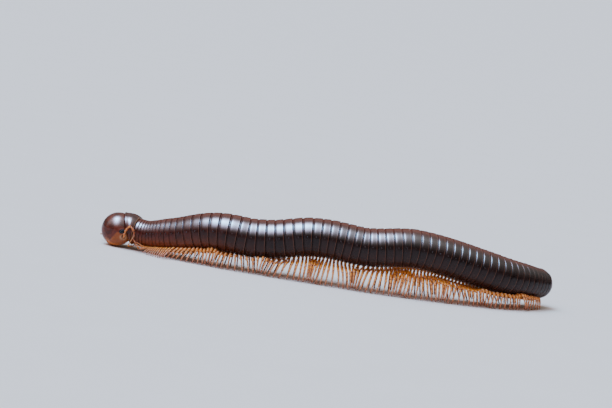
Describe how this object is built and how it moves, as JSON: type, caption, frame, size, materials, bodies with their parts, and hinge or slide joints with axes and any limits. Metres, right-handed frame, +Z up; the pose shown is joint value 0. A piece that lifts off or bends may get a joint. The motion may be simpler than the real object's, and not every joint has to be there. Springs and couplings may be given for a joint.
{
  "type": "seychelles giant millipede",
  "caption": "Life-size still model of a giant millipede: long ringed trunk on many legs, head with elbowed feelers and eye patches, closed tail ring.",
  "frame": {"origin": "on the ground under the middle of the animal's box", "axes": "+X from head to tail, -Y the animal's left side, +Z up"},
  "size_m": [0.1762, 0.043, 0.0259],
  "materials": {
    "trunk_cuticle": "glossy dark brown cuticle",
    "head_cuticle": "glossy red-brown cuticle",
    "leg_cuticle": "satin orange cuticle",
    "feeler_cuticle": "satin orange-brown cuticle",
    "eye": "glossy black lenses",
    "claw": "dark brown claw"
  },
  "bodies": {
    "root": {"head": "head_cuticle", "collum": "trunk_cuticle", "eye_left": "eye", "eye_right": "eye", "antenna_left": "feeler_cuticle", "antenna_right": "feeler_cuticle", "trunk_1": "trunk_cuticle", "trunk_2": "trunk_cuticle", "trunk_3": "trunk_cuticle", "trunk_4": "trunk_cuticle", "trunk_5": "trunk_cuticle", "trunk_6": "trunk_cuticle", "trunk_7": "trunk_cuticle", "trunk_8": "trunk_cuticle", "tail": "trunk_cuticle"}
  },
  "joints": []
}
